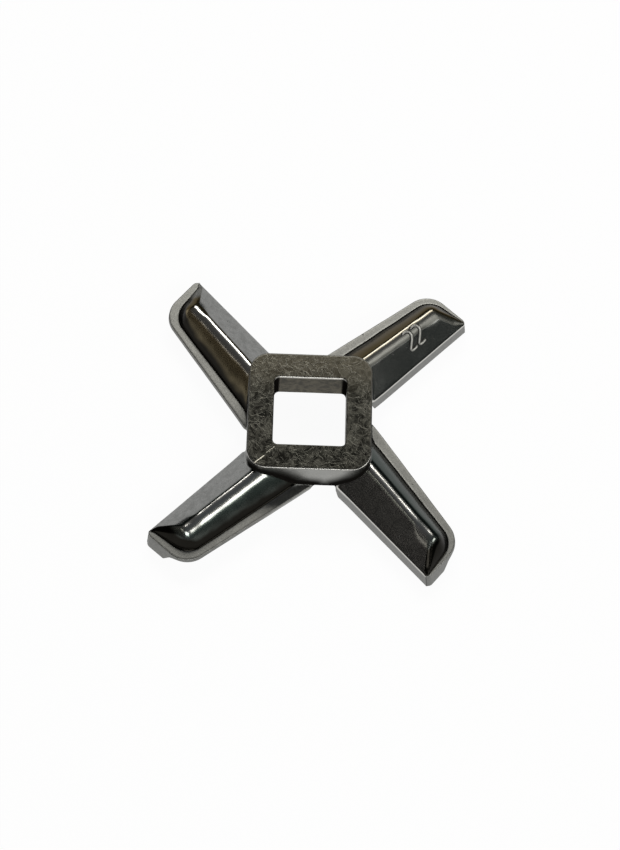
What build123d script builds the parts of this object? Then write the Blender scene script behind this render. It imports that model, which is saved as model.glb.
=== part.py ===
from build123d import *
import os
from math import asin, cos, degrees, radians, sin, tan

# Four-armed knife of a size 22 mincer, lying on its cutting faces with the worm side up.
# Z = 0 is the cutting plane, the Z axis is the axis of the drive square, and the hub sides lie along X
# and Y. Sizes are in millimetres and angles in degrees.

# Hub and drive square
hub_side = 23.8
hub_corner_radius = 3.8
hub_height = 11.9
hub_draft = 1.4
hub_rim_chamfer = 0.15
drive_square = 14.0
drive_corner_radius = 1.0
drive_lead_in = 1.1

# Arms in plan, measured at the parting plane
arm_count = 4
arm_angle = 44.3
parting_height = 4.4
edge_offset = 4.67
arm_reach = 37.9
end_skew = 5.3
end_draft = 7.7
edge_corner_radius = 1.0
trail_corner_radius = 4.8
trail_offset = 7.14
trail_taper = 8.2
taper_station = 24.0

# Cutting foot and trailing flange
flange_thickness = 0.95
flange_width = 1.8
foot_width = 4.7
foot_lean = 28.0
foot_fillet = 2.2
relief_radius = 14.1
relief_draft = 16.0
relief_fillet = 0.5

# Ridge on the back of each arm
lead_slope = 40.5
ridge_taper = 6.7
ridge_foot_angle = 61.0
ridge_profile_radius = 16.0
ridge_end_width = 0.45
ridge_end_skew = 11.6
ridge_corner_radius = 4.3
crest_radius = 1.2
tip_flat = 0.1
root_radius = 0.5

# Room left on the blanks for trimming
spare = 2.0
overrun = 6.0
arm_start = 4.0

flange_bottom = parting_height - flange_thickness


def trail_edge(u):
    """Distance of the flange edge from the arm's centre line at station u."""
    return trail_offset - (u - taper_station) * tan(radians(trail_taper))


def end_face(v):
    """Station of the arm's end at the parting plane, v being positive on the trailing side."""
    return arm_reach - v * tan(radians(end_skew))


def ridge_edge(u):
    """Distance of the foot of the ridge's trailing face from the arm's centre line at station u."""
    return trail_offset - flange_width - (u - taper_station) * tan(radians(ridge_taper))


def ridge_end(v):
    """Station of the foot of the ridge's end face."""
    at_lead_corner = end_face(-edge_offset) - ridge_end_width
    return at_lead_corner - (v + edge_offset) * tan(radians(ridge_end_skew))


def crossing(edge, end):
    """Corner where a trailing line v = edge(u) meets an end line u = end(v)."""
    edge_slope = edge(1) - edge(0)
    end_slope = end(1) - end(0)
    u = (end(0) + end_slope * edge(0)) / (1 - end_slope * edge_slope)
    return u, edge(u)


def across(edge):
    """Plane square to a line at its start, its local x pointing out of the arm and its local y up."""
    return Plane(origin=edge @ 0, x_dir=Vector(0, 0, 1).cross(edge % 0), z_dir=edge % 0)


def ridge_section(arc_reach, full_reach):
    """Section under the ridge's trailing face, from its foot inwards, with a skirt below it."""
    foot = radians(ridge_foot_angle)
    top = asin(sin(foot) - arc_reach / ridge_profile_radius)
    middle = (foot + top) / 2
    centre = Vector(-sin(foot), -cos(foot)) * ridge_profile_radius
    shoulder = centre + Vector(sin(top), cos(top)) * ridge_profile_radius
    halfway = centre + Vector(sin(middle), cos(middle)) * ridge_profile_radius
    with BuildSketch() as section:
        with BuildLine():
            ThreePointArc((0, 0), halfway, shoulder)
            Polyline(
                shoulder,
                (-full_reach, shoulder.Y),
                (-full_reach, -spare),
                (spare / tan(foot), -spare),
                (0, 0),
            )
        make_face()
    return section.sketch


# Blade of one arm: the plate at the parting plane and the cutting foot under its leading edge.
# The arm lies along +X with its leading side towards -Y.
outer_side = -edge_offset - spare
tip_corner = crossing(trail_edge, end_face)
with BuildPart() as blade:
    with BuildSketch(Plane.XY.offset(parting_height)) as outline:
        with BuildLine():
            Polyline(
                (arm_start, outer_side),
                (end_face(outer_side), outer_side),
                tip_corner,
                (arm_start, trail_edge(arm_start)),
                close=True,
            )
        make_face()
        fillet(outline.vertices().sort_by_distance((*tip_corner, 0))[0], radius=trail_corner_radius)
    extrude(amount=-parting_height, taper=-end_draft)
    split(bisect_by=Plane.XZ.offset(edge_offset), keep=Keep.BOTTOM)
    lead_wall = blade.faces().filter_by(Axis.Y).sort_by(Axis.Y)[0]
    fillet(lead_wall.edges().sort_by(Axis.X)[-1], radius=edge_corner_radius)

    # Underside behind the foot, hollowed up to the flange
    foot_back = foot_width - edge_offset
    hollow_top = foot_back + flange_bottom * tan(radians(foot_lean))
    with BuildSketch(Plane.YZ) as hollow:
        with BuildLine():
            Polyline(
                (foot_back - spare * tan(radians(foot_lean)), -spare),
                (hollow_top, flange_bottom),
                (trail_edge(0) + spare, flange_bottom),
                (trail_edge(0) + spare, -spare),
                close=True,
            )
        make_face()
        fillet(hollow.vertices().sort_by_distance((hollow_top, flange_bottom))[0], radius=foot_fillet)
    extrude(amount=arm_reach + spare, mode=Mode.SUBTRACT)

# Ridge of one arm: its trailing face runs out along the arm, turns round the tip and ends on the leading
# corner.
run_out = edge_offset + overrun
with BuildLine(Plane.XY.offset(parting_height)) as ridge_foot:
    FilletPolyline(
        (arm_start, ridge_edge(arm_start)),
        crossing(ridge_edge, ridge_end),
        (ridge_end(-run_out), -run_out),
        radius=ridge_corner_radius,
    )
side_run, end_run = ridge_foot.edges().filter_by(GeomType.LINE).sort_by(Axis.X)
tip_turn = ridge_foot.edges().filter_by(GeomType.CIRCLE)[0]
ridge_width = ridge_edge(arm_start) + edge_offset
with BuildPart() as ridge:
    for run in (side_run, end_run):
        with BuildSketch(across(run)):
            add(ridge_section(ridge_width / 2, ridge_width + spare))
        extrude(amount=run.length)
    with BuildSketch(across(tip_turn)):
        add(ridge_section(ridge_corner_radius - tip_flat, ridge_corner_radius))
    turn = degrees(tip_turn.length / ridge_corner_radius)
    revolve(axis=Axis(tip_turn.arc_center, (0, 0, -1)), revolution_arc=turn)

    # Leading face, one plane that rises from the top of the cutting edge
    slope = tan(radians(lead_slope))
    with BuildSketch(Plane.YZ):
        with BuildLine():
            Polyline(
                (-edge_offset - spare / slope, parting_height - spare),
                (-edge_offset + ridge_width, parting_height + ridge_width * slope),
                (ridge_width, parting_height + ridge_width * slope),
                (ridge_width, parting_height - spare),
                close=True,
            )
        make_face()
    extrude(amount=arm_reach + 2 * spare, mode=Mode.INTERSECT)
    lead_face = ridge.faces().sort_by(lambda face: abs(face.normal_at().Z - cos(radians(lead_slope))))[0]
    crest = lead_face.edges().sort_by(Axis.Z)[1:].filter_by(lambda edge: edge.center().X > arm_start + spare)
    fillet(crest, radius=crest_radius)

    # Ridge trimmed to the blade's outline, which is rounded at the leading corner
    add(blade.faces().sort_by(Axis.Z)[-1])
    extrude(amount=ridge_width * slope, mode=Mode.INTERSECT)

with BuildPart() as arm:
    add(blade.part)
    add(ridge.part)

# The whole knife: four arms on the square hub
with BuildPart() as knife:
    with BuildSketch(Plane.XY.offset(hub_height)):
        RectangleRounded(hub_side, hub_side, hub_corner_radius)
    extrude(amount=flange_bottom - hub_height, taper=-hub_draft)
    with PolarLocations(0, arm_count, start_angle=arm_angle):
        add(arm.part)
    roots = knife.edges(Select.NEW).filter_by(lambda edge: edge.center().Z > flange_bottom + root_radius / 2)
    fillet(roots, radius=root_radius)

    # Underside of the hub, set back from the cutting plane, with rounded roots to the four feet
    with BuildSketch():
        Circle(relief_radius)
    extrude(amount=flange_bottom, taper=relief_draft, mode=Mode.SUBTRACT)
    foot_roots = knife.edges(Select.LAST).filter_by(GeomType.CIRCLE).group_by(Axis.Z)[0]
    fillet(foot_roots, radius=relief_fillet)

    # Drive square, led in from below, and the broken rim of the worm side
    with BuildSketch(Plane.XY.offset(hub_height)):
        RectangleRounded(drive_square, drive_square, drive_corner_radius)
    extrude(amount=-hub_height, mode=Mode.SUBTRACT)
    chamfer(knife.edges(Select.LAST).group_by(Axis.Z)[0], length=drive_lead_in)
    worm_side = knife.faces().sort_by(Axis.Z)[-1]
    chamfer(worm_side.outer_wire().edges(), length=hub_rim_chamfer)
knife.part.label = "knife"

os.makedirs("parts", exist_ok=True)
export_step(knife.part, "parts/knife.step")
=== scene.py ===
from math import atan2, cos, hypot, pi, radians, sin, sqrt, tan

import bmesh
import bpy
import numpy as np
from mathutils import Matrix, Vector, noise
from mathutils.bvhtree import BVHTree
from mathutils.kdtree import KDTree


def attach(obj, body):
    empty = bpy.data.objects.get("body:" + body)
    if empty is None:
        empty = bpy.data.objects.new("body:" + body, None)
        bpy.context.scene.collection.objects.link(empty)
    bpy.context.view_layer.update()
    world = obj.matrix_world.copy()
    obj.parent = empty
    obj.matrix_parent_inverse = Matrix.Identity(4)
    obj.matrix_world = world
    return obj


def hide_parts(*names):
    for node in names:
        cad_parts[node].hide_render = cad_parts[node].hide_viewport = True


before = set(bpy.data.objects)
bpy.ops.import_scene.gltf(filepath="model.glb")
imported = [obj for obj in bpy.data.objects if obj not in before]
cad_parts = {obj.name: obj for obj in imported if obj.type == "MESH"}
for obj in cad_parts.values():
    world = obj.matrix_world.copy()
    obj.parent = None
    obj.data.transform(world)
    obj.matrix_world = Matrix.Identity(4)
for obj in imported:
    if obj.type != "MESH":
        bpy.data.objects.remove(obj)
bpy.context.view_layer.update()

# KNIFE CASTING
# One steel casting makes the whole knife: a square hub, which slides on the worm's square, and four cutting arms.
# The arms' backs are polished, their leading faces and the hub's top are ground, and the rest is matt from blasting.

# Arms: each has a thin flange along its trailing side and its tip, a ridge that turns round the tip, a flat leading
# face and a foot that runs on the mincer's plate. Sizes are in millimetres in the arm's own frame: u along it,
# v to its trailing side, z up.
parting = 4.4
flange_low = 3.45
edge_offset = 4.67
arm_reach = 37.66
trail_offset = 7.14
ridge_offset = 5.34
taper_station = 24.0
end_skew = radians(5.3)
trail_skew = radians(8.2)
ridge_skew = radians(6.7)
tip_skew = radians(11.6)
wall_draft = tan(radians(7.7))
lead_angle = radians(40.5)
lead_slope = tan(lead_angle)
back_radius = 16.0
back_start = radians(61.0)
crest_radii = ((2.3, 1.2), (1.2, 2.6), (1.5, 3.0), (1.4, 2.4))
trail_turn_radius = 4.8
nose_radius = 1.0
ridge_turn_radius = 4.3
ridge_turn_centre = np.array([32.44, 0.03])
edge_round = 0.16
lead_edge_round = 0.12
root_round = 0.3
lead_spread_start = 30.0
widest_back = 7.0
tip_swell = 0.22
swell_station = 1.55
swell_spread = 0.5
nose_gap = 0.02
hub_half = 11.9
hub_corner = 3.8
hub_top = 11.9
hub_draft = tan(radians(1.4))
hub_core = hub_half - hub_corner


def plan_direction(angle):
    """Unit plan vector at an angle."""
    return np.array([cos(angle), sin(angle)])


def fan(angles):
    """Unit plan vectors for a list of angles."""
    return np.stack([np.cos(angles), np.sin(angles)], -1)


def trail_edge(u):
    """Distance of the flange's edge from the arm's centre line at station u."""
    return trail_offset - (u - taper_station) * tan(trail_skew)


def ridge_edge(u):
    """Distance of the ridge's foot from the arm's centre line at station u."""
    return ridge_offset - (u - taper_station) * tan(ridge_skew)


along_side = plan_direction(-trail_skew)
along_end = plan_direction(end_skew - pi / 2)
corner_u = (arm_reach - tan(end_skew) * trail_edge(0)) / (1 - tan(end_skew) * tan(trail_skew))
corner = np.array([corner_u, trail_edge(corner_u)])
corner_turn = pi / 2 - trail_skew - end_skew
corner_reach = trail_turn_radius * tan(corner_turn / 2)
corner_in = corner - along_side * corner_reach
corner_out = corner + along_end * corner_reach
corner_centre = corner_in - trail_turn_radius * plan_direction(pi / 2 - trail_skew)
nose_v = nose_radius - edge_offset
nose_centre = np.array([arm_reach - nose_v * tan(end_skew) - nose_radius / cos(end_skew), nose_v])
nose_in = nose_centre + nose_radius * plan_direction(end_skew)
corner_length = trail_turn_radius * corner_turn
end_length = np.linalg.norm(nose_in - corner_out)
nose_length = nose_radius * (end_skew + pi / 2)
ridge_normal = plan_direction(pi / 2 - ridge_skew)
tip_normal = plan_direction(tip_skew)
square_to_ridge = ridge_normal[1] + ridge_normal[0] * tan(trail_skew)
ridge_turn_in = ridge_turn_centre + ridge_turn_radius * ridge_normal
ridge_turn_out = ridge_turn_centre + ridge_turn_radius * tip_normal
tip_length = (ridge_turn_out[1] - nose_v) / cos(tip_skew)
along_tip = plan_direction(tip_skew - pi / 2)


def outline(length):
    """Point of the flange's edge, measured from the start of the trailing corner's arc."""
    length = length[..., None]
    turn = pi / 2 - trail_skew - np.clip(length[..., 0], 0, corner_length) / trail_turn_radius
    nose = end_skew - np.clip(length[..., 0] - corner_length - end_length, 0, None) / nose_radius
    run = corner_in + along_side * length
    run = np.where(length > 0, corner_centre + trail_turn_radius * fan(turn), run)
    run = np.where(length > corner_length, corner_out + along_end * (length - corner_length), run)
    return np.where(length > corner_length + end_length, nose_centre + nose_radius * fan(nose), run)


def plan_frame(c, u_side):
    """Flange edge, ridge foot and inward direction at stations c.

    c runs from 0 to 1 along the side, where u_side gives the place, to 2 round the corner, to 3 along the tip and
    to 4 round the nose.
    """
    side_width = (trail_edge(u_side) - ridge_edge(u_side)) / square_to_ridge
    foot = np.stack([u_side, ridge_edge(u_side)], -1)
    edge = foot + ridge_normal * side_width[..., None]
    inward = np.broadcast_to(-ridge_normal, foot.shape)
    turn_width = (trail_edge(ridge_turn_in[0]) - ridge_turn_in[1]) / square_to_ridge
    turn_start = (ridge_turn_in + ridge_normal * turn_width - corner_in) @ along_side
    t = (c - 1)[..., None]
    round_corner = fan(pi / 2 - ridge_skew + (tip_skew + ridge_skew - pi / 2) * (c - 1))
    foot = np.where(t > 0, ridge_turn_centre + ridge_turn_radius * round_corner, foot)
    inward = np.where(t > 0, -round_corner, inward)
    edge = np.where(t > 0, outline(turn_start + (c - 1) * (corner_length - turn_start)), edge)
    t = (c - 2)[..., None]
    foot = np.where(t > 0, ridge_turn_out + along_tip * tip_length * t, foot)
    inward = np.where(t > 0, -tip_normal, inward)
    edge = np.where(t > 0, outline(corner_length + (c - 2) * end_length), edge)
    t = np.clip(c - 3, 0, 1)
    tip_end = ridge_turn_out + along_tip * tip_length - nose_centre
    near = np.linalg.norm(tip_end)
    reach = near + (nose_radius - nose_gap - near) * np.clip(t * 1.7, 0, 1) ** 0.8
    first = atan2(tip_end[1], tip_end[0])
    nose_foot = nose_centre + reach[..., None] * fan(first - t * (pi / 2 + first))
    nose = (c > 3)[..., None]
    foot = np.where(nose, nose_foot, foot)
    edge = np.where(nose, outline(corner_length + end_length + t * nose_length), edge)
    return edge, foot, inward


def back_profile(d, swell=1.0):
    """Height and slope of the ridge's back at distance d inside its foot; swell steepens it."""
    tilt = np.arcsin(sin(back_start) - d / back_radius)
    return swell * back_radius * (np.cos(tilt) - cos(back_start)), swell * np.tan(tilt)


def crest_distance(foot, inward, swell=1.0):
    """How far inside its foot the back meets the leading face, by halving."""
    near = np.zeros(foot.shape[:-1])
    far = near + widest_back
    for _ in range(26):
        middle = (near + far) / 2
        over = back_profile(middle, swell)[0] > (foot[..., 1] + inward[..., 1] * middle + edge_offset) * lead_slope
        far = np.where(over, middle, far)
        near = np.where(over, near, middle)
    return near


# Underside: the foot, its leaning back with a fillet, the flange, and the round recess under the hub
foot_back = 0.03
foot_lean = radians(28.0)
foot_fillet = 2.2
hollow_run = foot_fillet * tan((pi / 2 - foot_lean) / 2)
hollow_v = foot_back + flange_low * tan(foot_lean)


def underside(v):
    """Height of the underside: the foot, its leaning back, the fillet and the flange."""
    lean = np.clip((v - foot_back) / tan(foot_lean), 0, flange_low)
    inside = np.clip(foot_fillet ** 2 - (hollow_v + hollow_run - v) ** 2, 0, None)
    rounded = flange_low - foot_fillet + np.sqrt(inside)
    in_fillet = (v > hollow_v - hollow_run * sin(foot_lean)) & (v < hollow_v + hollow_run)
    return np.where(in_fillet, np.minimum(rounded, flange_low), lean)


relief_radius = 13.2
relief_slope = 1 / tan(radians(16.0))
relief_round = 0.35


def low_face(u, v):
    """Underside with the round recess under the hub."""
    cone = flange_low - (np.hypot(u, v) - relief_radius) * relief_slope
    flat = underside(v)
    blend = np.clip(relief_round - np.abs(flat - cone), 0, None)
    return np.clip(np.maximum(flat, cone) + blend ** 2 / (4 * relief_round), 0, flange_low)


def lift(plan, z):
    """Plan points at heights z."""
    return np.concatenate([plan, np.broadcast_to(z, plan.shape[:-1])[..., None]], -1)


def bend(a, b, c, q):
    """Point at q on the curve that leaves a towards b and reaches c."""
    return (1 - q) ** 2 * a + 2 * (1 - q) * q * b + q * q * c


def ease(share):
    """0 to 1, smooth at both ends."""
    share = np.clip(share, 0, 1)
    return share * share * (3 - 2 * share)


down_lead = np.array([0.0, -cos(lead_angle), -sin(lead_angle)])


def arm_row(kind, q, c, u_side, crest_lead_radius, crest_back_radius):
    """One line of points along the arm, at stations c.

    kind names the strip, and q runs from 0 to 1 across it. The strips follow each other from the foot of the
    flange's wall over the ridge to the foot of the leading wall.
    """
    edge, foot, inward = plan_frame(c, u_side)
    outward = edge - foot
    width = np.linalg.norm(outward, axis=-1) + 1e-9
    outward = outward / width[..., None]
    nose = np.clip(c - 2.6, 0, 1)[..., None]
    wall_out = outward * (1 - nose) + np.array([1.0, 0.0]) * nose
    wall_out = wall_out / np.linalg.norm(wall_out, axis=-1, keepdims=True)
    if kind == "wall":
        low = underside(edge[..., 1])
        for _ in range(14):
            base = edge + wall_out * ((parting - low) * wall_draft)[..., None]
            low = 0.6 * low + 0.4 * low_face(base[..., 0], base[..., 1])
        z = low + (parting - edge_round - low) * q
        return lift(edge + wall_out * ((parting - z) * wall_draft)[..., None], z)
    rim = np.minimum(edge_round, width * 0.4)[..., None]
    if kind == "flange_edge":
        turn = q * pi / 2
        drop = edge_round * (1 - sin(turn))
        return lift(edge - outward * rim * (1 - cos(turn)) + wall_out * drop * wall_draft, parting - drop)
    root = np.minimum(root_round, width * 0.3)[..., None]
    if kind == "flange":
        return lift(edge - outward * rim + (foot + outward * (root + rim) - edge) * q, parting)
    swell = 1 + tip_swell * np.exp(-((c - swell_station) / swell_spread) ** 2)
    d_crest = crest_distance(foot, inward, swell)
    start = np.minimum(root[..., 0] * 0.55, d_crest * 0.4)
    height, slope = back_profile(start, swell)
    if kind == "ridge_foot":
        ridge_start = lift(foot + inward * start[..., None], parting + height)
        return bend(lift(foot + outward * root, parting), lift(foot, parting), ridge_start, q)
    height, slope = back_profile(d_crest, swell)
    crest = lift(foot + inward * d_crest[..., None], parting + height)
    turn = np.arctan(slope) + lead_angle
    lead_length = (crest[..., 1] + edge_offset) / cos(lead_angle)
    back_length = d_crest * np.sqrt(1 + slope ** 2)
    lead_cut = np.minimum(crest_lead_radius * np.tan(turn / 2), 0.7 * lead_length)
    back_cut = np.minimum(crest_back_radius * np.tan(turn / 2), 0.5 * back_length)
    d_back = d_crest - back_cut / np.sqrt(1 + slope ** 2)
    if kind == "back":
        d = start + (d_back - start) * q
        return lift(foot + inward * d[..., None], parting + back_profile(d, swell)[0])
    height, slope = back_profile(d_back, swell)
    back_end = lift(foot + inward * d_back[..., None], parting + height)
    climb = np.concatenate([inward, slope[..., None]], -1)
    climb = climb / np.linalg.norm(climb, axis=-1, keepdims=True)
    lead_start = crest + down_lead * lead_cut[..., None]
    if kind == "crest":
        handle = (4 / 3 * np.tan(turn / 4) / np.tan(turn / 2))[..., None]
        low_arm = back_end + climb * handle * back_cut[..., None]
        high_arm = lead_start - down_lead * handle * lead_cut[..., None]
        return (1 - q) * bend(back_end, low_arm, high_arm, q) + q * bend(low_arm, high_arm, lead_start, q)
    u = np.where(c > 3.999, nose_centre[0], crest[..., 0])
    lead_edge = np.stack([u, np.full_like(u, -edge_offset), np.full_like(u, parting)], -1)
    rim = np.minimum(lead_edge_round, 0.5 * (lead_length - lead_cut))[..., None]
    if kind == "lead":
        return lead_start + (lead_edge - down_lead * rim - lead_start) * q
    below = lead_edge - np.array([0, 0, 1.0]) * rim
    if kind == "lead_edge":
        return bend(lead_edge - down_lead * rim, lead_edge, below, q)
    u = u + ease((u - lead_spread_start) / (nose_centre[0] - lead_spread_start)) * parting * wall_draft
    v = np.full_like(u, -edge_offset)
    return below + (np.stack([u, v, low_face(u, v)], -1) - below) * q


def hub_wall(z):
    """Distance of the hub's wall from its core square."""
    return hub_corner + (hub_top - z) * hub_draft


def outside_hub(point):
    """Distance of a point outside the hub's wall."""
    away = np.abs(point[..., :2]) - hub_core
    beyond = np.linalg.norm(np.clip(away, 0, None), axis=-1) + np.minimum(away.max(-1), 0)
    return beyond - hub_wall(point[..., 2])


# Strips across an arm with their numbers of rows, and stations along it, which are closer near the hub
strips = [("wall", 5), ("flange_edge", 3), ("flange", 5), ("ridge_foot", 3), ("back", 16), ("crest", 18),
          ("lead", 13), ("lead_edge", 2), ("lead_wall", 7)]
rows = [("wall", 0.0)] + [(kind, (i + 1) / count) for kind, count in strips for i in range(count)]
steps = np.cumsum([0.0] + [0.13] * 7 + [0.25] * 8 + [0.5] * 44)
turn_steps = np.arange(1, 23) / 22
nose_steps = np.arange(1, 9) / 8
stations = np.concatenate([steps / steps[-1], 1 + turn_steps, 2 + turn_steps, 3 + nose_steps])
arm_angle = radians(44.3)
root_range = (6.0, 20.0)


def turned(points, angle):
    """Points turned about the drive hole's axis."""
    spin = np.array([[cos(angle), sin(angle)], [-sin(angle), cos(angle)]])
    return np.concatenate([points[..., :2] @ spin, points[..., 2:]], -1)


# The top of each arm, whose rows all start on the hub's wall
uppers = []
for radii in crest_radii:
    upper = []
    for kind, q in rows:
        near, far = root_range
        for _ in range(24):
            middle = (near + far) / 2
            point = arm_row(kind, q, np.zeros(1), np.array([middle]), *radii)
            outside = outside_hub(turned(point, arm_angle))[0] > 0
            near, far = (near, middle) if outside else (middle, far)
        u_side = near + (ridge_turn_in[0] - near) * np.clip(stations, 0, 1)
        upper.append(arm_row(kind, q, stations, u_side, *radii))
    uppers.append(np.array(upper))

# The underside, the same for all arms, from the foot of the leading wall to that of the flange's wall
lead_foot, outer_foot = upper[-1], upper[0]
fillet_width = 2.7
fillet_levels = foot_back + fillet_width * np.arange(1, 22) / 21
levels = np.concatenate([np.linspace(-edge_offset, foot_back, 20), fillet_levels])
spare_rows = len(rows) - len(levels)
lower = [lead_foot]
root_in, root_out = lead_foot[0], outer_foot[0]
for k in range(1, len(rows) - 1):
    cut = levels[min(k, len(levels) - 1)]
    v = np.minimum(cut, outer_foot[:, 1])
    if k >= len(levels):
        v = v + (outer_foot[:, 1] - v) * (k - len(levels) + 1) / spare_rows
    q = (v + edge_offset) / np.maximum(outer_foot[:, 1] + edge_offset, 1e-6)
    u = lead_foot[:, 0] + (outer_foot[:, 0] - lead_foot[:, 0]) * q
    share = (v[0] - root_in[1]) / (root_out[1] - root_in[1])
    root_radius = hypot(*root_in[:2]) * (1 - share) + hypot(*root_out[:2]) * share
    u = u + (sqrt(root_radius ** 2 - v[0] ** 2) - u[0]) * (1 - np.clip(stations, 0, 1)) ** 3
    line = np.stack([u, v, np.where(stations == 0, flange_low, low_face(u, v))], -1)
    clipped = outer_foot[:, 1] <= cut + 1e-9
    lower.append(np.where(clipped[:, None], outer_foot, line))
lower.append(outer_foot)
lower = np.array(lower)

# Hub: its wall is drafted, its rims are broken, and its hole is broached square and led in from below. Lengths
# round it are measured along its wall.
rim_round = 0.12
hole_core = 6.0
hole_corner = 1.0
hole_round = 0.1
hole_lead_in = 1.1
gap_steps = 26
quarter = 2 * hub_core + hub_corner * pi / 2
surfaces = ("ridge", "rise", "lead", "top", "rim", "bore")
surface_of = {
    "wall": {}, "flange_edge": {"rim": 0.12}, "flange": {}, "ridge_foot": {"ridge": 1.0}, "back": {"ridge": 1.0},
    "crest": {"ridge": 1.0, "rise": 1.0}, "lead": {"lead": 1.0}, "lead_edge": {"lead": 0.5, "rim": 0.6},
    "lead_wall": {}, "under": {}, "hub_wall": {}, "hub_rim": {"rim": 0.8, "top": 0.5}, "hub_top": {"top": 1.0},
    "hole_edge": {"rim": 0.8, "bore": 0.5}, "bore": {"bore": 1.0},
}
verts, faces = [], []
amounts = {name: [] for name in surfaces}


def lay(points, kind, share=0.0, polish=1.0):
    """Adds a row of points of one surface, a share of the way across it; polish fades the ridge's brightness."""
    first = len(verts)
    verts.extend(points.tolist())
    parts = dict(surface_of[kind])
    if kind == "back":
        parts["rise"] = share
    for name in surfaces:
        amount = parts.get(name, 0.0) * (polish if name == "ridge" else 1.0)
        amounts[name].extend(np.broadcast_to(amount, len(points)).tolist())
    return list(range(first, first + len(points)))


def knit(row_a, row_b):
    """Faces between two rows."""
    for a, b, c, d in zip(row_a, row_a[1:], row_b[1:], row_b):
        faces.append((a, b, c, d))


def hub_wall_point(position, wall, z, half=hub_core):
    """Points round the hub at lengths from the middle of its +X side, wall being the distance from its core."""
    turn, rest = np.divmod(position + hub_core, quarter)
    straight = np.minimum(rest, 2 * hub_core) - hub_core
    core = np.stack([np.full_like(rest, hub_core), straight], -1) * (half / hub_core)
    plan = core + fan(np.maximum(rest - 2 * hub_core, 0) / hub_corner) * np.reshape(wall, (-1, 1))
    spin = turn * pi / 2
    x = plan[:, 0] * np.cos(spin) - plan[:, 1] * np.sin(spin)
    y = plan[:, 0] * np.sin(spin) + plan[:, 1] * np.cos(spin)
    return np.stack([x, y, np.broadcast_to(z, x.shape)], -1)


def hub_length(plan):
    """Length round the hub of a plan point on its wall."""
    core = np.clip(plan, -hub_core, hub_core)
    away = plan - core
    bearing = np.arctan2(away[:, 1], away[:, 0])
    side = np.round(bearing / (pi / 2))
    flat = (np.abs(plan) < hub_core).any(-1)
    along = plan[:, 1] * np.cos(side * pi / 2) - plan[:, 0] * np.sin(side * pi / 2)
    turn = np.floor(bearing / (pi / 2))
    round_part = hub_core + (bearing - turn * pi / 2) * hub_corner
    return np.where(flat, side * quarter + along, turn * quarter + round_part)


# The four arms: off the hub they stand a little towards +X, and two were ground back at the tip. One ridge is not
# polished to its end.
loop_top, loop_low = [], []
arm_shift = np.array([0.1, 0.0, 0.0])
settling_length = 5.0
settled = ease(steps.max() * np.clip(stations, 0, 1) / settling_length)[None, :, None] * arm_shift
tip_lands = (0.0, 0.9, 0.75, 0.0)
tip_land_start = 28.0
tip_land_run = 8.0
tip_land_end = 3.9
dull_tip_arm = 1
dull_tip_start = 2.25
dull_tip_run = 0.3
for k in range(4):
    landed = uppers[k]
    for row, (kind, q) in zip(landed, rows):
        part = {"flange": q, "ridge_foot": 1.0, "back": 1.0, "crest": 1.0, "lead": 1.0 - q}.get(kind, 0.0)
        near_tip = ease((row[:, 0] - tip_land_start) / tip_land_run) * ease((tip_land_end - stations) * 1.2)
        row[:, 0] -= tip_lands[k] * part * near_tip
    arm_upper = turned(landed, arm_angle + k * pi / 2) + settled
    arm_lower = turned(lower, arm_angle + k * pi / 2) + settled
    polish = 1.0 - ease((stations - dull_tip_start) / dull_tip_run) if k == dull_tip_arm else 1.0
    laid = [lay(points, kind, q, polish) for points, (kind, q) in zip(arm_upper, rows)]
    for a, b in zip(laid, laid[1:]):
        knit(a, b)
    laid = [lay(points, "under") for points in arm_lower]
    for a, b in zip(laid, laid[1:]):
        knit(b, a)
    loop_top.append(arm_upper[::-1, 0])
    loop_low.append(arm_lower[:, 0])

# The loop where arms and hub meet: up one side of each arm's root, down the other, then along the hub's wall
gap_share = np.linspace(0, 1, gap_steps + 2)[1:-1]
ring_top, ring_low, place = [], [], []
for k in range(4):
    first = hub_length(loop_top[k][:, :2])
    first = first + 4 * quarter * np.round((place[-1] - first + quarter) / (4 * quarter)) if place else first
    place.extend(first)
    following = hub_length(loop_top[(k + 1) % 4][:1, :2])[0]
    following = following + 4 * quarter * np.ceil((place[-1] - following) / (4 * quarter))
    between = place[-1] + (following - place[-1]) * gap_share
    run = hub_wall_point(between, hub_wall(flange_low), flange_low)
    place.extend(between)
    ring_top += [loop_top[k], run]
    ring_low += [loop_low[k], run]
ring_top, ring_low = np.concatenate(ring_top), np.concatenate(ring_low)
place = np.array(place)
even = np.arange(len(place)) / len(place) * 4 * quarter
spaced = (place + 2 * (even + np.mean(place - even))) / 3

# Rings up the wall from that loop, over the rim, across the top, down the hole and out to the arms' undersides
rim_z = hub_top - rim_round
rim_turns = (pi / 6, pi / 3, pi / 2)
rings = [(ring_top, "hub_wall")]
wall_steps = np.cumsum([1.0] * 5 + [2.0] * 4 + [5.0] * 9)
for f in wall_steps / wall_steps[-1]:
    z = ring_top[:, 2] + (rim_z - ring_top[:, 2]) * f
    rings.append((hub_wall_point(place + (spaced - place) * f, hub_wall(z), z), "hub_wall"))
for turn in rim_turns:
    wall = hub_corner - rim_round * (1 - cos(turn))
    rings.append((hub_wall_point(spaced, wall, rim_z + rim_round * sin(turn)), "hub_rim"))
for f in np.arange(1, 25) / 24:
    wall = (hub_corner - rim_round) * (1 - f) + (hole_corner + hole_round) * f
    rings.append((hub_wall_point(spaced, wall, hub_top, hub_core * (1 - f) + hole_core * f), "hub_top"))
for turn in rim_turns:
    wall = hole_corner + hole_round * (1 - sin(turn))
    rings.append((hub_wall_point(spaced, wall, hub_top - hole_round * (1 - cos(turn)), hole_core), "hole_edge"))
for f in np.arange(1, 13) / 12:
    z = (hub_top - hole_round) * (1 - f) + (flange_low + hole_lead_in) * f
    rings.append((hub_wall_point(spaced, hole_corner, z, hole_core), "bore"))
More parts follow.
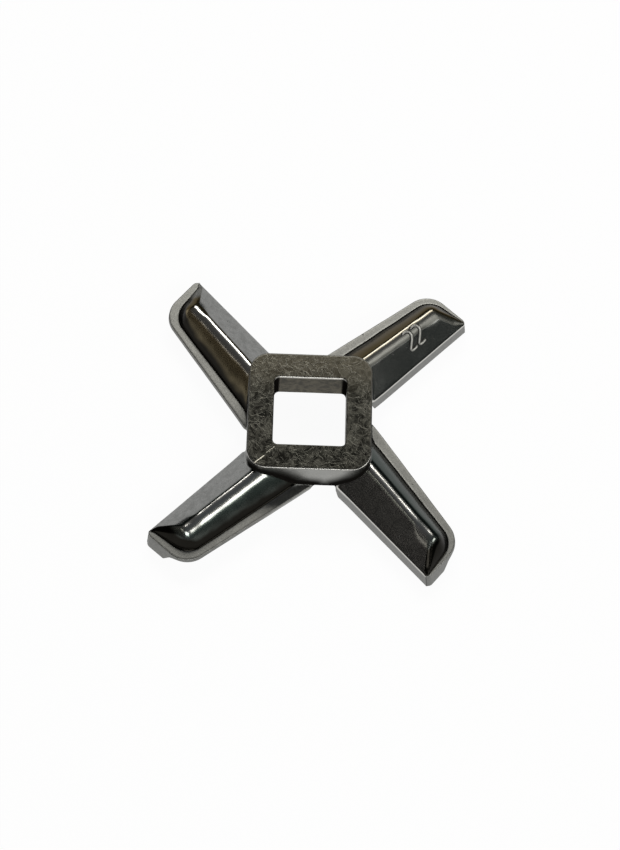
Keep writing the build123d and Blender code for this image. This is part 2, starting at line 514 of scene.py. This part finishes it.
for f in (0.5, 1.0):
    z = flange_low + hole_lead_in * (1 - f)
    rings.append((hub_wall_point(spaced, hole_corner + hole_lead_in * f, z, hole_core), "bore"))
last = rings[-1][0]
for f in np.arange(1, 12) / 11:
    rings.append((last + (ring_low - last) * f, "under"))
laid = [lay(points, kind) for points, kind in rings]
for a, b in zip(laid, laid[1:]):
    knit(a + a[:1], b + b[:1])

# The mesh, with the places where arms and hub meet welded into one skin
weld = 0.0006
casting_mesh = bpy.data.meshes.new("knife_casting")
casting_mesh.from_pydata(verts, [], faces)
for name in surfaces:
    casting_mesh.attributes.new(name, "FLOAT", "POINT").data.foreach_set("value", amounts[name])
shape = bmesh.new()
shape.from_mesh(casting_mesh)
bmesh.ops.remove_doubles(shape, verts=shape.verts, dist=weld)
bmesh.ops.dissolve_degenerate(shape, edges=shape.edges, dist=weld / 2)
bmesh.ops.holes_fill(shape, edges=[edge for edge in shape.edges if edge.is_boundary], sides=0)
bmesh.ops.recalc_face_normals(shape, faces=shape.faces)
shape.to_mesh(casting_mesh)
shape.free()

# Roots of the arms rounded into the hub, and painted shade in the corners there on the side towards -Y
root_band = 0.9
root_shade_reach = 3.4
count = len(casting_mesh.vertices)
points = np.empty(count * 3)
casting_mesh.vertices.foreach_get("co", points)
points = points.reshape(-1, 3)
ends = np.empty(len(casting_mesh.edges) * 2, dtype=int)
casting_mesh.edges.foreach_get("vertices", ends)
ends = ends.reshape(-1, 2)
from_wall = outside_hub(points)
near_root = ease(1.0 - np.abs(from_wall) / root_band) * ease((points[:, 2] - 0.4) / 0.5)
above = KDTree(len(ring_top))
for i, point in enumerate(ring_top):
    above.insert(point, i)
above.balance()
to_root = np.array([above.find(point)[2] for point in points])
near_root = near_root * ease(1.3 - to_root / 0.8)
on_wall = ease(1.5 - np.abs(from_wall) / 0.1) * ease((11.8 - points[:, 2]) / 0.1)
from_core = points[:, :2] - np.clip(points[:, :2], -hub_core, hub_core)
front = -from_core[:, 1] / (np.linalg.norm(from_core, axis=-1) + 1e-9)
root_shade_amount = ease(1.25 - to_root / root_shade_reach) * ease((points[:, 2] - 3.6) / 0.3) * on_wall * ease((front - 0.15) / 0.35)
casting_mesh.attributes.new("grime", "FLOAT", "POINT").data.foreach_set("value", root_shade_amount)
spokes = np.bincount(ends.ravel(), minlength=count)[:, None]


def relax(points, amount, times):
    """Moves points towards the middle of their neighbours."""
    for _ in range(times):
        total = np.zeros_like(points)
        for near_end, far_end in (ends.T, ends.T[::-1]):
            for i in range(3):
                total[:, i] += np.bincount(near_end, points[far_end, i], count)
        points = points + (total / spokes - points) * amount[:, None]
    return points


points = relax(points, near_root * 0.6, times=22)

# Ends of the ridges rounded over
peak_reach = 2.6
peak = crest_distance(ridge_turn_in[None], -ridge_normal[None])[0]
peak_spot = lift((ridge_turn_in - ridge_normal * peak)[None], parting + back_profile(peak)[0])
near_peak = np.zeros(count)
for k in range(4):
    spot = turned(peak_spot, arm_angle + k * pi / 2)
    near_peak += ease(1.3 - np.linalg.norm(points - spot, axis=-1) / peak_reach)
near_peak *= ease((points[:, 2] - parting - 0.5) / 0.8)
points = relax(points, near_peak * 0.7, times=80)
casting_mesh.vertices.foreach_set("co", points.ravel())
casting_mesh.update()

# Slight waviness that polishing by hand leaves, as pairs of waves per millimetre and height
waves = ((0.22, 0.05), (0.7, 0.012))
outward, polished = np.empty(count * 3), np.empty(count)
casting_mesh.vertex_normals.foreach_get("vector", outward)
casting_mesh.attributes["ridge"].data.foreach_get("value", polished)
wave = [sum(noise.noise(often * Vector(p)) * height for often, height in waves) for p in points]
wave = np.array(wave) * (0.5 + 0.5 * polished) * ease((points[:, 2] - 0.2) / 0.4) * ease((11.7 - points[:, 2]) / 0.4)
points = points + outward.reshape(-1, 3) * wave[:, None]
casting_mesh.vertices.foreach_set("co", points.ravel())
millimetre = 0.001
sharp_angle = radians(32)
casting_mesh.transform(Matrix.Scale(millimetre, 4))
casting_mesh.shade_smooth()
casting_mesh.set_sharp_from_angle(angle=sharp_angle)
casting = bpy.data.objects.new("knife_casting", casting_mesh)
bpy.context.scene.collection.objects.link(casting)


class Wire:
    """Output of a shader node; its arithmetic adds Math nodes."""

    def __init__(self, finish, socket):
        self.finish, self.socket = finish, socket

    def out(self, name):
        """Another output of the same node."""
        return Wire(self.finish, self.socket.node.outputs[name])

    def math(self, operation, *others):
        return self.finish.math(operation, self, *others)

    def __add__(self, other):
        return self.math("ADD", other)

    def __sub__(self, other):
        return self.math("SUBTRACT", other)

    def __rsub__(self, other):
        return self.finish.math("SUBTRACT", other, self)

    def __mul__(self, other):
        return self.math("MULTIPLY", other)

    def __pow__(self, other):
        return self.math("POWER", other)

    def __abs__(self):
        return self.math("ABSOLUTE")

    __radd__ = __add__
    __rmul__ = __mul__

    def ramp(self, low, high):
        """0 at low, 1 at high, smooth between; high may be the smaller."""
        return self.finish.add("ShaderNodeMapRange", {"interpolation_type": "SMOOTHSTEP"},
                               {"Value": self, "From Min": low, "From Max": high})


class Finish:
    """Nodes of one material or world, round its own shader."""

    def __init__(self, owner, shader, constants=None):
        owner.use_nodes = True
        self.owner, self.tree = owner, owner.node_tree
        self.shader = self.tree.nodes[shader]
        self.sockets(self.shader, constants or {})

    def sockets(self, node, values):
        for name, value in values.items():
            socket = node.inputs[name]
            if isinstance(value, Wire):
                self.tree.links.new(value.socket, socket)
            else:
                socket.default_value = value

    def add(self, kind, settings=None, sockets=None, out=0):
        """Any node: its type, its settings, then its sockets. Stops are the places and colours of a colour ramp."""
        node = self.tree.nodes.new(kind)
        for name, value in (settings or {}).items():
            if name == "stops":
                elements = node.color_ramp.elements
                elements.remove(elements[-1])
                elements[0].position, elements[0].color = value[0]
                for place, color in value[1:]:
                    elements.new(place).color = color
            else:
                setattr(node, name, value)
        self.sockets(node, sockets or {})
        return Wire(self, node.outputs[out])

    def math(self, operation, *values):
        return self.add("ShaderNodeMath", {"operation": operation}, dict(enumerate(values)))

    def surface(self, name):
        """How much of a surface or of painted shade the mesh carries at a place."""
        return self.add("ShaderNodeAttribute", {"attribute_name": name}, out=2)

    def noise(self, at, scale, detail=3.0, roughness=0.5, distortion=0.0):
        return self.add("ShaderNodeTexNoise", {}, {"Vector": at, "Scale": scale, "Detail": detail,
                                                  "Roughness": roughness, "Distortion": distortion})

    def mix(self, share, first, second):
        """Colour mix; a colour is a triple or a wire."""
        first, second = [c if isinstance(c, Wire) else (*c, 1.0) for c in (first, second)]
        return self.add("ShaderNodeMix", {"data_type": "RGBA"}, {0: share, 6: first, 7: second}, out=2)


def most(*wires):
    """The largest of several wires."""
    largest = wires[0]
    for wire in wires[1:]:
        largest = largest.math("MAXIMUM", wire)
    return largest


# Steel: x, y and z are places on the casting in millimetres, facing and level the Y and Z of the normal there
steel = Finish(bpy.data.materials.new("steel"), "Principled BSDF", {"Metallic": 1.0})
in_metres = steel.add("ShaderNodeTexCoord", out="Object")
at = steel.add("ShaderNodeVectorMath", {"operation": "SCALE"}, {0: in_metres, 3: 1000.0})
x = steel.add("ShaderNodeSeparateXYZ", {}, {0: at}, out="X")
y, z = x.out("Y"), x.out("Z")
normal = steel.add("ShaderNodeNewGeometry", out="Normal")
facing = steel.add("ShaderNodeSeparateXYZ", {}, {0: normal}, out="Y")
level = facing.out("Z")
ridge, rise, lead, top, rim, bore, root_shade = [steel.surface(name) for name in (*surfaces, "grime")]
cloud = steel.noise(at, 0.18, 2.0)
patch = steel.noise(at, 0.7, 4.0, 0.6)
grain = steel.noise(at, 3.2, 3.0, 0.65)
fine = steel.noise(at, 9.0, 2.0, 0.6)

# Matt casting
matt = steel.mix(grain.ramp(0.3, 0.7), (0.14, 0.14, 0.131), (0.195, 0.195, 0.182))
color = steel.mix(patch.ramp(0.5, 0.8) * 0.6, matt, (0.255, 0.255, 0.238))
rough = 0.4 + 0.12 * patch

# Polished ridge. Its colour carries painted reflections and painted shade: a brown tint on the pair of arms towards
# +Y for the warm room, dark faces where they turn towards +Y, a little lighter where those lie nearly level, black
# towards the foot, and the steel's own bright colour only near the crest as a painted sheen.
warm_side = y.ramp(-6.0, 6.0)
front_turned_tint = steel.mix(warm_side, (0.27, 0.31, 0.28), (0.4, 0.33, 0.2))
back_turned_shade = steel.mix(warm_side, (0.034, 0.044, 0.039), (0.09, 0.062, 0.012))
back_turned_shade = steel.mix(level.ramp(0.91, 0.96), back_turned_shade, (0.085, 0.078, 0.06))
# Painted shade: faces turned towards +Y get the dark tint.
turned_back = facing.ramp(-0.15, 0.2)
painted_reflection = steel.mix(turned_back, front_turned_tint, back_turned_shade)
# Painted shade on the arm towards +X and +Y: its crest darker on the faces turned towards -Y, where it is also
# rougher, its sheen mostly taken away, and its leading face darker.
first_arm = x.ramp(-2.0, 2.0) * y.ramp(-2.0, 2.0)
dull_and_shaded = first_arm * (1.0 - turned_back)
painted_reflection = steel.mix(dull_and_shaded, painted_reflection, (0.085, 0.085, 0.076))
# Painted shade: black where the back grows steep towards its foot, at the foot itself, and at the tips of the two
# arms towards -Y.
near_foot = (level + (cloud - 0.5) * 0.12).ramp(0.76 - 0.08 * turned_back, 0.54 - 0.04 * turned_back)
reach = (x ** 2 + y ** 2) ** 0.5
shaded_tips = reach.ramp(33.2, 34.8) * y.ramp(0.0, -4.0)
painted_reflection = steel.mix(most(near_foot, rise.ramp(0.24, 0.02), shaded_tips), painted_reflection, (0.012, 0.011, 0.009))
# Painted sheen: the steel's own bright colour kept only where the crest lies nearly level, less of it towards the
# tips.
shine = level.ramp(0.74 + 0.16 * turned_back, 0.86 + 0.11 * turned_back) * rise.ramp(0.3, 0.5)
shine = shine * (1.0 - 0.85 * first_arm) * (1.0 - 0.7 * reach.ramp(31.5, 34.0)) * (1.0 - shaded_tips)
bright = steel.mix(shine, painted_reflection, (0.46, 0.455, 0.43))
color = steel.mix(ridge, color, bright)
rough = rough + ridge * (0.17 + 0.07 * patch + 0.15 * dull_and_shaded - rough)

# Ground leading face
ground = steel.mix(grain.ramp(0.35, 0.7), (0.19, 0.192, 0.186), (0.25, 0.25, 0.242))
# Painted shade: the leading face of the arm towards +X and +Y is darker; the darker patches elsewhere are the face's
# own tone.
ground = steel.mix(most(patch.ramp(0.6, 0.3) * 0.5, first_arm * 0.8), ground, (0.12, 0.122, 0.116))
color = steel.mix(lead, color, ground)
rough = rough + lead * (0.13 + 0.08 * grain - rough)

# Hub's top: cloudy, with short scratches that curve every way, two long ones and a dent
drift = steel.add("ShaderNodeVectorMath", {"operation": "SCALE"}, {0: steel.noise(at, 0.3, 2.0).out("Color"), 3: 3.2})
bent = steel.add("ShaderNodeVectorMath", {"operation": "ADD"}, {0: at, 1: drift})
strokes = []
for angle, offset in ((0.35, 0.0), (1.25, 40.0), (2.15, 80.0), (2.8, 120.0)):
    aligned = steel.add("ShaderNodeMapping", {"vector_type": "TEXTURE"},
                        {"Vector": bent, "Location": (offset, offset, 0.0), "Rotation": (0.0, 0.0, angle),
                         "Scale": (2.2, 0.2, 1.0)})
    thinned = steel.noise(aligned, 0.35, 0.0).ramp(0.42, 0.6)
    strokes.append(steel.noise(aligned, 1.0, 3.0, 0.6).ramp(0.52, 0.66) * thinned)
scratches = most(*strokes)
swirl = steel.noise(at, 0.45, 6.0, 0.68, 1.6)
worn = steel.mix(swirl.ramp(0.4, 0.64), (0.006, 0.006, 0.005), (0.042, 0.041, 0.034))
# The top is also lighter towards +Y.
worn = steel.mix(y.ramp(2.0, 11.0) * 0.45, worn, (0.075, 0.067, 0.049))
worn = steel.mix(scratches * 0.45, worn, (0.13, 0.127, 0.108))


def groove(start, end, half_width):
    """1 on a straight scratch between two points of the top, 0 off it."""
    run = np.array(end) - np.array(start)
    length = hypot(*run)
    from_x, from_y = x - start[0], y - start[1]
    along = (from_x * run[0] + from_y * run[1]) * (1 / length)
    aside = (from_x * run[1] - from_y * run[0]) * (1 / length)
    wander = (patch - 0.5) * 0.35
    beside = abs(aside + wander).ramp(half_width, half_width * 0.4)
    return beside * along.ramp(-0.1, 0.1) * along.ramp(length, length - 0.4)


gash = most(groove((-10.5, -11.2), (-8.25, -9.3), 0.13), groove((-8.1, -8.9), (-6.4, -7.4), 0.08) * 0.5)
worn = steel.mix(gash, worn, (0.62, 0.59, 0.5))
dent = ((x - 10.83) ** 2 + (y + 8.58) ** 2).ramp(0.06, 0.03)
color = steel.mix(top, color, worn)
rough = rough + top * (0.4 - 0.12 * scratches - rough)

# Hole wall
broached = steel.mix(patch.ramp(0.35, 0.65), (0.03, 0.026, 0.016), (0.085, 0.075, 0.05))
color = steel.mix(bore, color, broached)
rough = rough + bore * (0.5 - rough)
hole_corners = bore * abs(x).ramp(5.9, 6.3) * abs(y).ramp(5.0, 6.2)

# Front of the hub painted lighter as painted light, and made smoother; the rims get a patchy, smoother painted
# highlight on the side towards -Y and painted shade on the others
lit_front = y.ramp(-11.3, -11.7) * abs(x).ramp(9.0, 6.5) * level.ramp(0.3, 0.1) * z.ramp(3.3, 3.6)
color = steel.mix(lit_front * (0.25 + 0.35 * patch), color, (0.4, 0.4, 0.375))
rough = rough - lit_front * 0.1
near_side = facing.ramp(0.0, -0.35)
color = steel.mix(rim * (1.0 - near_side) * 0.8, color, (0.03, 0.028, 0.023))
rim_highlight = rim * (patch * 0.4 + near_side).ramp(0.35, 0.85)
color = steel.mix(rim_highlight, color, (0.85, 0.83, 0.77))
rough = rough + rim_highlight * (0.25 - rough)

# Painted shade, as black: in the pits, the dent, the hole's corners, between hub and arms, and in a line on the
# ridges' faces turned towards +Y on the arms towards +Y
pit = steel.add("ShaderNodeTexVoronoi", {"feature": "F1"}, {"Vector": at, "Scale": 0.62})
pits = pit.ramp(0.09, 0.04) * steel.noise(at, 0.5, 0.0).ramp(0.52, 0.6)
shade_line = ridge * turned_back * warm_side * level.ramp(0.93, 0.86) * 0.5
grime = most(pits * (1.0 - ridge), hole_corners, root_shade, shade_line, dent * top)

# Relief, in millimetres: the blasted grain, the scratched top and a sinking where shade is painted
blasted = (grain * 0.005 + fine * 0.002) * (1.0 - ridge * 0.99 - lead * 0.92)
scratched = (scratches * 0.01 + swirl * 0.015 - gash * 0.03) * top
relief = blasted + scratched - grime * 0.05
bump = steel.add("ShaderNodeBump", {}, {"Height": relief, "Distance": 0.001, "Strength": 1.0})
steel.sockets(steel.shader, {"Base Color": color, "Roughness": rough, "Normal": bump})
# The painted shade is a black matt shader mixed over the steel.
shade_black = steel.add("ShaderNodeBsdfDiffuse", {}, {"Color": (0.009, 0.008, 0.007, 1)})
blend = steel.add("ShaderNodeMixShader", {}, {0: grime, 1: Wire(steel, steel.shader.outputs[0]), 2: shade_black})
steel.sockets(steel.tree.nodes["Material Output"], {"Surface": blend})
casting_mesh.materials.append(steel.owner)
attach(casting, "root")
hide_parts("knife")

# SIZE NUMERALS
# The trade size, 22, cast raised on the leading face of one ridge and polished with it. The strokes are rounded
# across and follow the face. They run along (u, v) points in that arm's frame, in millimetres.
numeral_half_width = 0.4
numeral_height = 0.34
numeral_depth = 0.15
numeral_pitch = Vector((2.16, -0.07))
numeral_step = 0.07
numeral_strokes = (
    ((25.18, 0.7), (25.62, 0.88), (26.2, 0.82), (26.68, 0.45), (26.8, -0.1), (26.5, -0.68), (25.9, -1.25),
     (25.3, -1.78), (24.95, -2.14)),
    ((24.95, -2.2), (25.6, -2.3), (26.2, -2.26), (26.8, -2.1)),
)
casting_points = [vert.co * 1000 for vert in casting_mesh.vertices]
surface_tree = BVHTree.FromPolygons(casting_points, [face.vertices[:] for face in casting_mesh.polygons])
numeral_verts, numeral_faces = [], []


def smooth_path(points, step):
    """Points a step apart along a curve through the given ones."""
    points = [Vector(p) for p in points]
    points = [2 * points[0] - points[1], *points, 2 * points[-1] - points[-2]]
    dense = []
    for a, b, c, d in zip(points, points[1:], points[2:], points[3:]):
        for i in range(24):
            t = i / 24
            line = 2 * b + (c - a) * t
            dense.append(0.5 * (line + (2 * a - 5 * b + 4 * c - d) * t * t + (3 * b - a - 3 * c + d) * t ** 3))
    dense.append(points[-2])
    path, gone = [dense[0]], 0.0
    for a, b in zip(dense, dense[1:]):
        gone += (b - a).length
        if gone >= step:
            path.append(b)
            gone = 0.0
    return path


def on_surface(plan, above=20.0):
    """Place and normal on the casting below a plan point of the arm."""
    spot = plan @ Matrix.Rotation(-arm_angle, 2) + Vector(arm_shift[:2])
    return surface_tree.ray_cast(Vector((spot.x, spot.y, above)), Vector((0, 0, -1)))[:2]


def stroke_rings(spots, length):
    """Closed rings of 14 points along a stroke: 13 over its rounded top, one inside the casting."""
    rings, gone = [], 0.0
    for i, (spot, normal) in enumerate(spots):
        before, after = spots[max(i - 1, 0)][0], spots[min(i + 1, len(spots) - 1)][0]
        gone += (spot - before).length
        sideways = (after - before).normalized().cross(normal).normalized()
        to_end = min(gone, length - gone) + 0.02
        cap = sqrt(max(1 - max(1 - to_end / numeral_half_width, 0) ** 2, 0.02))
        ring = []
        for j in range(13):
            across = -cos(pi * j / 12)
            start = spot + sideways * across * numeral_half_width * cap + normal * 0.8
            foot = surface_tree.ray_cast(start, -normal, 2.0)[0] or spot
            ring.append(foot + normal * (numeral_height * cap * (1 - across ** 2) ** 0.6 - 0.04))
        rings.append(ring + [spot - normal * numeral_depth])
    return rings


for digit in range(2):
    for stroke in numeral_strokes:
        path = smooth_path([Vector(p) + numeral_pitch * digit for p in stroke], numeral_step)
        spots = [on_surface(plan) for plan in path]
        length = sum((b[0] - a[0]).length for a, b in zip(spots, spots[1:]))
        rings = stroke_rings(spots, length)
        first = len(numeral_verts)
        numeral_verts += [point / 1000 for ring in rings for point in ring]
        size = len(rings[0])
        for i in range(len(rings) - 1):
            for j in range(size):
                a, b = first + i * size + j, first + i * size + (j + 1) % size
                numeral_faces.append((a, a + size, b + size, b))
        numeral_faces.append(tuple(range(first, first + size)))
        numeral_faces.append(tuple(range(len(numeral_verts) - 1, len(numeral_verts) - 1 - size, -1)))
numeral_mesh = bpy.data.meshes.new("size_numerals")
numeral_mesh.from_pydata(numeral_verts, [], numeral_faces)
numeral_mesh.shade_smooth()

# Round each ring: polished all over, with painted shade at the foot and a painted highlight on the crown
ring_values = {
    "ridge": [0.25] * size,
    "rise": [1.0] * size,
    "grime": [1.0, 1.0, 1.0, 0.5, 0.0, 0.0, 0.0, 0.0, 0.0, 0.5, 1.0, 1.0, 1.0, 1.0],
    "rim": [0.0, 0.0, 0.0, 0.0, 0.0, 0.28, 0.36, 0.28, 0.0, 0.0, 0.0, 0.0, 0.0, 0.0],
}
for name, values in ring_values.items():
    values = values * (len(numeral_verts) // size)
    numeral_mesh.attributes.new(name, "FLOAT", "POINT").data.foreach_set("value", values)
numerals = bpy.data.objects.new("size_numerals", numeral_mesh)
bpy.context.scene.collection.objects.link(numerals)
numeral_mesh.materials.append(steel.owner)
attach(numerals, "root")

# FLOOR
# The plain pale sheet of paper that the knife lies on, far wider than the knife and a hair below its feet. It shows
# nearly white, and so do its reflections in the steel.
floor_half = 2
floor_z = -2e-5
floor_corners = [(i * floor_half, j * floor_half, floor_z) for i, j in ((-1, -1), (1, -1), (1, 1), (-1, 1))]
floor_mesh = bpy.data.meshes.new("floor")
floor_mesh.from_pydata(floor_corners, [], [(0, 1, 2, 3)])
floor = bpy.data.objects.new("floor", floor_mesh)
bpy.context.scene.collection.objects.link(floor)
paper = Finish(bpy.data.materials.new("paper"), "Principled BSDF",
               {"Base Color": (0.92, 0.92, 0.92, 1), "Roughness": 0.9, "Specular IOR Level": 0.0})
seen = paper.add("ShaderNodeLightPath", out="Is Camera Ray")
seen = seen + seen.out("Is Glossy Ray") + seen.out("Is Transmission Ray")
white = paper.add("ShaderNodeEmission", {}, {"Color": (1, 1, 1, 1), "Strength": 1.0})
sheet = paper.add("ShaderNodeMixShader", {},
                  {0: seen.ramp(0.0, 1.0) * 0.95, 1: Wire(paper, paper.shader.outputs[0]), 2: white})
paper.sockets(paper.tree.nodes["Material Output"], {"Surface": sheet})
floor_mesh.materials.append(paper.owner)

# LIGHT
# Four soft boxes stand behind, at the right, in front and at the left, in a dark room whose left wall is warmer.
# Each faces the knife; the back one gives the long highlights on the ridges.
room = Finish(bpy.data.worlds.new("room"), "Background")
wall_stops = ((0.0, (0.066, 0.06, 0.054, 1)), (0.55, (0.075, 0.082, 0.092, 1)), (1.0, (0.055, 0.07, 0.064, 1)))
sideways = room.add("ShaderNodeSeparateXYZ", {}, {0: room.add("ShaderNodeTexCoord", out="Generated")}, out="X")
wall_place = room.add("ShaderNodeMapRange", {}, {"Value": sideways, "From Min": -1.0})
walls = room.add("ShaderNodeValToRGB", {"stops": wall_stops}, {0: wall_place})
room.sockets(room.shader, {"Color": walls})
bpy.context.scene.world = room.owner


def soft_box(name, direction, distance, width, height, radiance, color):
    """A rectangular lamp that faces the knife; width is level, height is square to it."""
    lamp = bpy.data.lights.new(name, "AREA")
    lamp.shape = "RECTANGLE"
    lamp.size, lamp.size_y = width, height
    lamp.energy = radiance * pi * width * height
    lamp.color = color
    holder = bpy.data.objects.new(name, lamp)
    direction = Vector(direction).normalized()
    holder.location = direction * distance
    holder.rotation_euler = direction.to_track_quat("Z", "Y").to_euler()
    bpy.context.scene.collection.objects.link(holder)


soft_box("box_back", (0.03, 0.64, 0.77), 0.9, 0.62, 0.26, 10.0, (1.0, 0.98, 0.94))
soft_box("box_right", (0.69, -0.31, 0.63), 0.9, 0.5, 0.26, 5.0, (1.0, 0.99, 0.96))
soft_box("box_front", (0.0, -0.8, 0.6), 0.9, 0.5, 0.25, 6.0, (1.0, 1.0, 1.0))
soft_box("box_left", (-0.75, -0.37, 0.55), 0.9, 0.4, 0.05, 1.5, (1.0, 0.95, 0.85))

# CAMERA
# A long lens half a metre away looks steeply down on the knife from the front, turned a little to one side and
# rolled a little. The aim is moved along the picture's right and up to place the knife in it.
turn, tilt, roll = radians(1.8935), radians(67.32), radians(3.715)
distance, aim_right, aim_up = 0.49465, 0.000285, 0.001908
toward = Vector((-cos(tilt) * sin(turn), -cos(tilt) * cos(turn), sin(tilt)))
right = Vector((cos(turn), -sin(turn), 0))
up = toward.cross(right)
right, up = cos(roll) * right + sin(roll) * up, cos(roll) * up - sin(roll) * right
camera_data = bpy.data.cameras.new("camera")
camera_data.sensor_width = 36
camera_data.lens = 106.87
camera_data.clip_start = 0.01
camera = bpy.data.objects.new("camera", camera_data)
camera_place = Matrix.Translation(toward * distance + right * aim_right + up * aim_up)
camera.matrix_world = camera_place @ Matrix((right, up, toward)).transposed().to_4x4()
bpy.context.scene.collection.objects.link(camera)
bpy.context.scene.camera = camera
bpy.context.scene.view_settings.view_transform = "Standard"
